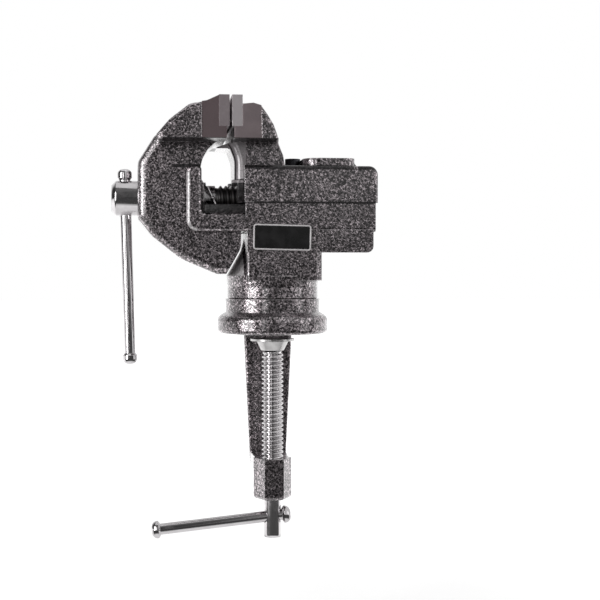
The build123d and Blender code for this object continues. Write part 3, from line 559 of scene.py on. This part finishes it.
def metal_material(name, colour, dull_colour, roughness, lines, relief, grime_and_shade=0.5, metallic=1.0):
    """Bare or plated steel: uneven gloss, with the tool's lines in relief."""
    sharp, dull = roughness
    spacing, stretch = lines
    material = bpy.data.materials.new(name)
    tree = empty_tree(material)
    marks = use_group(tree, tool_marks, {"Line Spacing": spacing * mm, "Stretch": stretch})
    edge = use_group(tree, edges_and_corners, {"Width": 0.25 * mm, "Reach": 1.5 * mm})
    spread = scaled(tree, marks["Film"], dull - sharp, sharp)
    film = product(tree, marks["Film"], film_strength)
    base = blend(tree, film, (*colour, 1), (*dull_colour, 1))
    # Inner corners darkened: painted shade with some dirt.
    base = blend(tree, product(tree, edge["Corner"], grime_and_shade), base, shade_and_grime_colour)
    bump = add(tree, "ShaderNodeBump",
               inputs={"Strength": 1.0, "Distance": relief * mm, "Height": marks["Lines"],
                       "Normal": edge["Normal"]})
    shader = add(tree, "ShaderNodeBsdfPrincipled",
                 inputs={"Base Color": base, "Roughness": spread, "Metallic": metallic,
                         "Normal": bump.outputs[0]})
    add(tree, "ShaderNodeOutputMaterial", inputs={"Surface": shader.outputs[0]})
    return material


# Each metal: name, colour, colour under the film, roughness from sharp to dull, the spacing and way
# of the tool's lines, and their relief. Spacing and relief are in millimetres.
chrome = metal_material("chrome", (0.60, 0.585, 0.595), (0.50, 0.48, 0.49), (0.10, 0.20),
                        (0.3, even_marks), 0.002)
zinc = metal_material("zinc", (0.74, 0.72, 0.73), (0.56, 0.54, 0.55), (0.14, 0.26),
                      (0.25, turned_on_z), 0.006)
# The front plate's steel is a darker copy of the rear plate's: painted shade on the front jaw.
shaded_front_steel = metal_material("front_plate_steel_shaded", (0.38, 0.33, 0.345), (0.27, 0.235, 0.245),
                             (0.38, 0.50), (0.2, strokes_along_y), 0.010)
rear_steel = metal_material("rear_plate_steel", (0.58, 0.54, 0.555), (0.46, 0.43, 0.44),
                            (0.38, 0.50), (0.2, strokes_along_y), 0.010)
plate_silver = metal_material("plate_silver", (0.85, 0.82, 0.83), (0.70, 0.67, 0.68),
                              (0.40, 0.50), (0.3, even_marks), 0.002, grime_and_shade=0.2, metallic=0.3)
spindle_steel = metal_material("spindle_steel", (0.26, 0.25, 0.25), (0.10, 0.095, 0.095),
                               (0.28, 0.45), (0.25, turned_on_x), 0.006, grime_and_shade=0.9)
black_steel = metal_material("black_steel", (0.045, 0.045, 0.05), (0.02, 0.02, 0.022),
                             (0.30, 0.48), (0.3, softly_turned_on_z), 0.004)
ground_steel = metal_material("ground_steel", (0.62, 0.61, 0.61), (0.48, 0.47, 0.47),
                              (0.26, 0.38), (0.25, turned_on_x), 0.006)
print("metals: chrome, zinc, plate steels, spindle steel, black steel, ground steel")

# %% [markdown]
# A solid whose shape is already right keeps its mesh and only gets its finish. The material goes
# into the slots of the node's object, so the mesh itself stays as it was packed.

# %% Dress the solids
finishes = {
    "clamp_frame": cast_base, "fixed_body": cast_rear, "movable_jaw": cast_front,
    "front_jaw_plate": shaded_front_steel, "rear_jaw_plate": rear_steel,
    "spindle_thrust_washer": zinc, "spindle_retaining_washer": zinc, "spindle_split_pin": zinc,
    "spindle_nut": ground_steel, "nut_lock_screw": black_steel,
    "front_jaw_screws": zinc, "rear_jaw_screws": zinc, "main_spindle": chrome,
    "spindle_handle_bar": chrome, "spindle_handle_top_cap": chrome,
    "spindle_handle_bottom_cap": chrome,
    "swivel_pivot_bolt": zinc, "swivel_spring_washer": black_steel, "swivel_washer": zinc,
    "clamp_screw": zinc, "clamp_pad": ground_steel, "pad_retaining_ring": black_steel,
    "clamp_handle_bar": chrome, "clamp_handle_left_cap": chrome,
    "clamp_handle_right_cap": chrome,
}
for node_name, finish in finishes.items():
    for slot in nodes[node_name].material_slots:
        slot.material = finish
print("finishes given:", len(finishes), "of", len(nodes))

# %% [markdown]
# Threads are what makes a screw read as a screw. The solids have plain cylinders there, because a
# thread needs thousands of small faces. Geometry Nodes can draw one from its rule: a flat grid is
# wound up so that its rows climb one pitch for each turn, and the radius rises and falls once in
# every pitch. The ridge fades out at both ends, so the ends are plain circles that can be closed.
# Every tree ends in the same two nodes, which make its geometry real and give it its material.

# %% Geometry Nodes: screw thread
weld_distance = 0.002 * mm  # points closer than this become one
rows_per_turn = 8


def finish_tree(tree, geometry, given, result):
    """End a Geometry Nodes tree: real geometry, painted with the tree's material."""
    real = add(tree, "GeometryNodeRealizeInstances", inputs={0: geometry})
    painted = add(tree, "GeometryNodeSetMaterial",
                  inputs={"Geometry": real.outputs[0], "Material": given.outputs["Material"]})
    tree.links.new(painted.outputs[0], result.inputs["Geometry"])
    return tree


def thread_tree():
    """Tree that winds a grid into a right-hand thread along Z, from 0 to its length."""
    tree, given, result = new_group(
        "screw_thread", "GeometryNodeTree",
        [("Root Radius", "Float", 4.0 * mm), ("Depth", "Float", 0.9 * mm),
         ("Pitch", "Float", 2.0 * mm), ("Length", "Float", 60 * mm), ("Turns", "Int", 31),
         ("Around", "Int", 40), ("Material", "Material", None)],
        [("Geometry", "Geometry")])
    tree.is_modifier = True
    length, pitch, turns = (given.outputs[name] for name in ("Length", "Pitch", "Turns"))
    rows = scaled(tree, turns, rows_per_turn, 1)
    columns = calc(tree, "ADD", given.outputs["Around"], 1)
    grid = add(tree, "GeometryNodeMeshGrid",
               inputs={"Size X": 1.0, "Size Y": 1.0, "Vertices X": columns, "Vertices Y": rows})
    spot = add(tree, "GeometryNodeInputPosition").outputs[0]
    flat = add(tree, "ShaderNodeSeparateXYZ", inputs={0: spot})
    # Around the axis the grid's X counts one turn, and its Y climbs one pitch for each turn.
    turn = calc(tree, "ADD", flat.outputs["X"], 0.5)
    climb = product(tree, calc(tree, "ADD", flat.outputs["Y"], 0.5), turns)
    level = calc(tree, "SUBTRACT", calc(tree, "ADD", climb, turn), 1.0)
    raw_height = product(tree, level, pitch)
    height = highest(tree, calc(tree, "MINIMUM", raw_height, length), 0.0)
    # The ridge stands in the middle of each pitch and fades out within one pitch of an end.
    phase = calc(tree, "FRACT", calc(tree, "ADD", climb, 0.0001))
    slope = calc(tree, "ABSOLUTE", scaled(tree, phase, 2.0, -1.0))
    ridge = scaled(tree, ramp(tree, slope, 0.22, 0.80, smooth=False), -1.0, 1.0)
    to_end = calc(tree, "SUBTRACT", length, height)
    nearest_end = calc(tree, "MINIMUM", height, to_end)
    run_out = calc(tree, "DIVIDE", nearest_end, pitch, clamp=True)
    rise = product(tree, ridge, run_out, given.outputs["Depth"])
    radius = calc(tree, "ADD", given.outputs["Root Radius"], rise)
    angle = product(tree, turn, 2 * math.pi)
    across = product(tree, radius, calc(tree, "COSINE", angle))
    along = product(tree, radius, calc(tree, "SINE", angle))
    place = add(tree, "ShaderNodeCombineXYZ", inputs={0: across, 1: along, 2: height})
    wound = add(tree, "GeometryNodeSetPosition",
                inputs={"Geometry": grid.outputs[0], "Position": place.outputs[0]})
    joined = add(tree, "GeometryNodeMergeByDistance",
                 inputs={"Geometry": wound.outputs[0], "Distance": weld_distance})
    return finish_tree(tree, joined.outputs[0], given, result)


screw_thread = thread_tree()
print("tree:", screw_thread.name)

# %% [markdown]
# A Geometry Nodes tree runs as a modifier. Its inputs are set by each socket's identifier, and
# then the evaluated object is turned into a plain mesh. A few helpers do this once and for all,
# and also merge a copy of a node's loose triangles, cut it at a plane and close the cut. A cut
# copy gets extra rings: smooth shading spreads over whole faces, and short ones keep the shade of
# a rounded end there.

# %% Mesh helpers
ring_step = 0.8 * mm
cut_tolerance = 0.001 * mm
sharp_angle = math.radians(35)  # edges that bend more than this stay sharp


def run_tree(tree, values, mesh=None):
    """Run a Geometry Nodes tree on a mesh and return the plain mesh that it makes."""
    host = bpy.data.objects.new("host", mesh or bpy.data.meshes.new("host"))
    scene.collection.objects.link(host)
    modifier = host.modifiers.new("tree", "NODES")
    modifier.node_group = tree
    for item in tree.interface.items_tree:
        if item.item_type == "SOCKET" and item.in_out == "INPUT" and item.name in values:
            modifier[item.identifier] = values[item.name]
    bpy.context.view_layer.update()
    evaluated = host.evaluated_get(bpy.context.evaluated_depsgraph_get())
    made = bpy.data.meshes.new_from_object(evaluated)
    bpy.data.objects.remove(host)
    return made


def close_ends(shape):
    """Fill the open ends of a shape."""
    open_edges = [edge for edge in shape.edges if edge.is_boundary]
    bmesh.ops.holes_fill(shape, edges=open_edges, sides=0)


def closed_shape(mesh, matrix=None):
    """Merged shape from a mesh, moved by a matrix, with open ends closed."""
    shape = bmesh.new()
    shape.from_mesh(mesh)
    bmesh.ops.remove_doubles(shape, verts=shape.verts, dist=weld_distance)
    close_ends(shape)
    if matrix:
        bmesh.ops.transform(shape, matrix=matrix, verts=shape.verts)
    bmesh.ops.recalc_face_normals(shape, faces=shape.faces)
    return shape


def slice_shape(shape, place, away, drop=False):
    """Cut a shape's faces along a plane; what lies on the side of away can be dropped."""
    whole = list(shape.verts) + list(shape.edges) + list(shape.faces)
    bmesh.ops.bisect_plane(shape, geom=whole, dist=cut_tolerance, plane_co=place, plane_no=away,
                           clear_outer=drop)


def cut_copy(node_name, place, away):
    """Merged copy of a node, cut at a plane; what lies on the side of away goes."""
    shape = closed_shape(nodes[node_name].data)
    slice_shape(shape, place, away, drop=True)
    close_ends(shape)
    place, away = Vector(place), Vector(away)
    reach = max((place - vert.co).dot(away) for vert in shape.verts)
    for number in range(1, int(reach / ring_step)):
        slice_shape(shape, place - away * number * ring_step, away)
    return shape


def finished_piece(name, shapes, body):
    """Join (shape, material) pairs into one piece that rides on a body."""
    joined = bmesh.new()
    mesh = bpy.data.meshes.new(name)
    for number, (shape, material) in enumerate(shapes):
        for face in shape.faces:
            face.material_index = number
        part = bpy.data.meshes.new("part")
        shape.to_mesh(part)
        shape.free()
        joined.from_mesh(part)
        bpy.data.meshes.remove(part)
        mesh.materials.append(material)
    joined.to_mesh(mesh)
    joined.free()
    mesh.shade_smooth()
    mesh.set_sharp_from_angle(angle=sharp_angle)
    piece = bpy.data.objects.new(name, mesh)
    scene.collection.objects.link(piece)
    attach(piece, body)
    return piece


print("mesh helpers: run_tree, close_ends, closed_shape, slice_shape, cut_copy, finished_piece")

# %% [markdown]
# The clamp screw is a 10 mm screw with two millimetres of pitch, bright from its zinc. Only its
# plain cylinder is changed: the spigot above and the drilled shank below are cut from the solid
# itself. The same is done for the main spindle, which lies along X and has a coarser pitch.

# %% Clamp screw and main spindle
faces_around = 44


def threaded_piece(name, ends, start, finish, sizes, turned, materials):
    """Piece with a thread from start to finish between cut copies of its node's ends.

    The sizes are the crest's radius, the thread's depth and its pitch, in millimetres. The piece
    rides on the body that has its node's name.
    """
    crest, depth, pitch = (size * mm for size in sizes)
    end_metal, thread_metal = materials
    length = (Vector(finish) - Vector(start)).length
    values = {"Root Radius": crest - depth, "Depth": depth, "Pitch": pitch, "Length": length,
              "Turns": math.ceil(length / pitch) + 1, "Around": faces_around,
              "Material": thread_metal}
    wound = run_tree(screw_thread, values)
    thread = closed_shape(wound, Matrix.Translation(start) @ turned)
    shapes = [(cut_copy(name, place, away), end_metal) for place, away in ends]
    shapes.append((thread, thread_metal))
    piece = finished_piece(name + "_threaded", shapes, name)
    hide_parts(name)
    return len(piece.data.polygons)


clamp_low = (0, 0, -75.0 * mm)
clamp_high = (0, 0, -7.95 * mm)
clamp_ends = [(clamp_low, (0, 0, 1)), (clamp_high, (0, 0, -1))]
clamp_faces = threaded_piece("clamp_screw", clamp_ends, clamp_low, clamp_high, (4.9, 0.95, 2.0),
                             Matrix.Identity(4), (zinc, zinc))

spindle_axis_z = 60.6 * mm
thread_start = (-26.3 * mm, 0, spindle_axis_z)
thread_finish = (43.0 * mm, 0, spindle_axis_z)
spindle_ends = [(thread_start, (1, 0, 0))]
upright_to_x = Matrix.Rotation(math.radians(90), 4, "Y")
spindle_faces = threaded_piece("main_spindle", spindle_ends, thread_start, thread_finish,
                               (6.0, 1.1, 2.5), upright_to_x, (chrome, spindle_steel))
print("threads: clamp screw", clamp_faces, "faces, spindle", spindle_faces, "faces")

# %% [markdown]
# A small plate is fixed to the side of the box. It is left bare: a black field inside a raised
# bright frame. A frame is a ring of faces, so the plate is built as rings that step inwards and
# are joined one after the other, which gives it its bevels without any modifier.

# %% Name plate
plate_width = 25.6
plate_height = 11.3
plate_corner = 1.2
least_corner = 0.3
corner_steps = 4
plate_centre = (2.35 * mm, -19.0 * mm, 42.85 * mm)
plate_tilt = math.radians(1.3)
plate_steps = [  # inset from the outline, height above the casting
    (0.0, -0.3), (0.0, 0.40), (0.10, 0.50), (0.55, 0.50), (0.65, 0.30),
]


def rounded_ring(width, height, radius, depth):
    """Outline of a rounded rectangle in XZ, at a depth in -Y."""
    ring = []
    for quarter, (sx, sz) in enumerate([(1, 1), (-1, 1), (-1, -1), (1, -1)]):
        for step in range(corner_steps + 1):
            angle = math.radians(90) * (quarter + step / corner_steps)
            ring.append((sx * (width / 2 - radius) + radius * math.cos(angle), -depth,
                         sz * (height / 2 - radius) + radius * math.sin(angle)))
    return ring


def lofted(rings):
    """Shape that joins rings of equally many points, closed at its ends."""
    shape = bmesh.new()
    rows = [[shape.verts.new(point) for point in ring] for ring in rings]
    for lower, upper in zip(rows, rows[1:]):
        for index, vert in enumerate(lower):
            after = (index + 1) % len(lower)
            shape.faces.new((vert, lower[after], upper[after], upper[index]))
    shape.faces.new(rows[0])
    shape.faces.new(rows[-1])
    bmesh.ops.recalc_face_normals(shape, faces=shape.faces)
    return shape


def field_enamel():
    """Black enamel for the plate's field."""
    field = bpy.data.materials.new("plate_black")
    tree = empty_tree(field)
    marks = use_group(tree, tool_marks, {"Film Size": 5 * mm})
    colour = blend(tree, marks["Film"], (0.002, 0.002, 0.002, 1), (0.006, 0.0055, 0.006, 1))
    roughness = scaled(tree, marks["Film"], 0.18, 0.22)
    shader = add(tree, "ShaderNodeBsdfPrincipled",
                 inputs={"Base Color": colour, "Roughness": roughness})
    add(tree, "ShaderNodeOutputMaterial", inputs={"Surface": shader.outputs[0]})
    return field


rings = []
for inset, height in plate_steps:
    corner = max(plate_corner - inset, least_corner)
    rings.append(rounded_ring((plate_width - 2 * inset) * mm, (plate_height - 2 * inset) * mm,
                              corner * mm, height * mm))
placed = Matrix.Translation(plate_centre) @ Matrix.Rotation(plate_tilt, 4, "Y")
plate_shape = lofted(rings)
bmesh.ops.transform(plate_shape, matrix=placed, verts=plate_shape.verts)
plate = finished_piece("name_plate", [(plate_shape, plate_silver)], "upper_body")
plate.data.materials.append(field_enamel())
plate.data.polygons[-1].material_index = 1  # the last face is the field
print("name plate:", len(plate.data.polygons), "faces")

# %% [markdown]
# Through the window above the slide bar the photograph shows no daylight. The bar's side walls
# rise a little there, and the mouth of the guide box is narrower than its tunnel. Such cast walls
# are made as blocks with every edge rounded, in mirrored pairs beside the spindle.

# %% Walls beside the spindle
wall_rounding = 0.5


def rounded_block(low, high):
    """Box shape between two corners, in millimetres, with rounded edges."""
    shape = bmesh.new()
    bmesh.ops.create_cube(shape, size=1.0)
    size = Vector(high) - Vector(low)
    middle = (Vector(high) + Vector(low)) / 2
    matrix = Matrix.Translation(middle * mm) @ Matrix.Diagonal((*(size * mm), 1))
    bmesh.ops.transform(shape, matrix=matrix, verts=shape.verts)
    bmesh.ops.bevel(shape, geom=shape.edges[:], offset=wall_rounding * mm, segments=2,
                    profile=0.5, affect="EDGES", clamp_overlap=True)
    return shape


def wall_pair(name, boxes, material, body):
    """Boxes on both sides of the spindle, as one cast piece."""
    shapes = []
    for low, high in boxes:
        near = (low[0], -high[1], low[2])
        far = (high[0], -low[1], high[2])
        shapes.append((rounded_block(low, high), material))
        shapes.append((rounded_block(near, far), material))
    return finished_piece(name, shapes, body)


# Boxes in millimetres on the +Y side; the other side gets its mirrored twin.
bar_boxes = [((-31.9, 10.6, 52.9), (38, 14.9, 57.6))]
mouth_boxes = [((-17.2, 10.6, 58.0), (-14.2, 15.2, 68.4)),
               ((-19.6, 10.6, 66.0), (-16.8, 14.9, 68.4))]
# Where the walls lie in the window, the castings' shade lines paint them near black: painted shade.
bar_walls = wall_pair("slide_bar_walls", bar_boxes, cast_front, "movable_jaw")
mouth_walls = wall_pair("box_mouth_walls", mouth_boxes, cast_rear, "upper_body")
print("walls:", len(bar_walls.data.polygons), "and", len(mouth_walls.data.polygons), "faces")

# %% [markdown]
# Two countersunk screws hold each jaw plate, and a cross recess takes the driver. The recesses
# repeat along a row, so Geometry Nodes cuts them: two crossed blocks stand on each point of a
# line, and a Boolean takes them out of the heads.

# %% Geometry Nodes: cross recesses
def recess_tree():
    """Tree that cuts a cross recess into each head of a row of two screws along Y."""
    tree, given, result = new_group(
        "cross_recesses", "GeometryNodeTree",
        [("Geometry", "Geometry", None), ("Face", "Vector", (0, 0, 0)),
         ("Spacing", "Float", 36 * mm), ("Arm", "Float", 2.3 * mm), ("Width", "Float", 1.0 * mm),
         ("Depth", "Float", 1.2 * mm), ("Material", "Material", None)],
        [("Geometry", "Geometry")])
    tree.is_modifier = True
    step = add(tree, "ShaderNodeCombineXYZ", inputs={1: given.outputs["Spacing"]}).outputs[0]
    half_back = add(tree, "ShaderNodeVectorMath", {"operation": "SCALE"}, {0: step, "Scale": -0.5})
    first = add(tree, "ShaderNodeVectorMath", {"operation": "ADD"},
                {0: given.outputs["Face"], 1: half_back.outputs[0]})
    row = add(tree, "GeometryNodeMeshLine", {"mode": "OFFSET"},
              {"Count": 2, "Start Location": first.outputs[0], "Offset": step})
    cut = add(tree, "GeometryNodeMeshBoolean", {"operation": "DIFFERENCE", "solver": "EXACT"},
              {"Mesh 1": given.outputs["Geometry"]})
    # The blocks stand half in the head, so they are twice as deep as the recess.
    depth = scaled(tree, given.outputs["Depth"], 2.0)
    length = scaled(tree, given.outputs["Arm"], 2.0)
    width = given.outputs["Width"]
    for across, upward in ((length, width), (width, length)):
        size = add(tree, "ShaderNodeCombineXYZ", inputs={0: depth, 1: across, 2: upward})
        block = add(tree, "GeometryNodeMeshCube", inputs={"Size": size.outputs[0]})
        blocks = add(tree, "GeometryNodeInstanceOnPoints",
                     inputs={"Points": row.outputs[0], "Instance": block.outputs["Mesh"]})
        solid_blocks = add(tree, "GeometryNodeRealizeInstances", inputs={0: blocks.outputs[0]})
        tree.links.new(solid_blocks.outputs[0], cut.inputs["Mesh 2"])
    return finish_tree(tree, cut.outputs["Mesh"], given, result)


cross_recesses = recess_tree()
screw_height = 97.0 * mm
screw_rows = [  # node, where its heads' faces lie along X, body
    ("front_jaw_screws", -21.75 * mm, "movable_jaw"),
    ("rear_jaw_screws", -20.35 * mm, "upper_body"),
]
for node_name, face_x, body in screw_rows:
    merged = bpy.data.meshes.new("merged")
    plain_screws = closed_shape(nodes[node_name].data)
    plain_screws.to_mesh(merged)
    plain_screws.free()
    values = {"Face": (face_x, 0, screw_height), "Material": zinc}
    recessed = closed_shape(run_tree(cross_recesses, values, merged))
    screws = finished_piece(node_name + "_recessed", [(recessed, zinc)], body)
    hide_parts(node_name)
    print(screws.name, len(screws.data.polygons), "faces")
